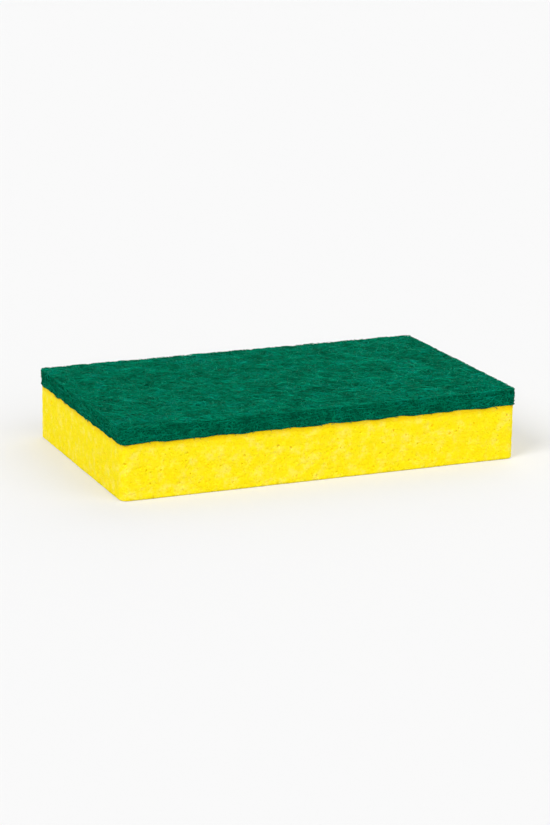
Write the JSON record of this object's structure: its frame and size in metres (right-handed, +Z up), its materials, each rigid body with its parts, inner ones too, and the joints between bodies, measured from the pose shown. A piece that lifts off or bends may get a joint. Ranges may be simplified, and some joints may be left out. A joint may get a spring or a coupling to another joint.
{
  "type": "cleaning sponge",
  "caption": "Flat block of open-cell foam with a non-woven scouring pad bonded over its whole top.",
  "frame": {"origin": "middle of the underside of the foam", "axes": "+X along the long side, +Y away from the long side that faces the viewer, +Z up through the pad"},
  "size_m": [0.15, 0.088, 0.026],
  "materials": {
    "foam": "matte open-cell foam, with fine cells on every cut face",
    "scourer": "matte non-woven web of stiff fibres"
  },
  "bodies": {
    "root": {"foam_block": "foam", "scouring_pad": "scourer"}
  },
  "joints": []
}
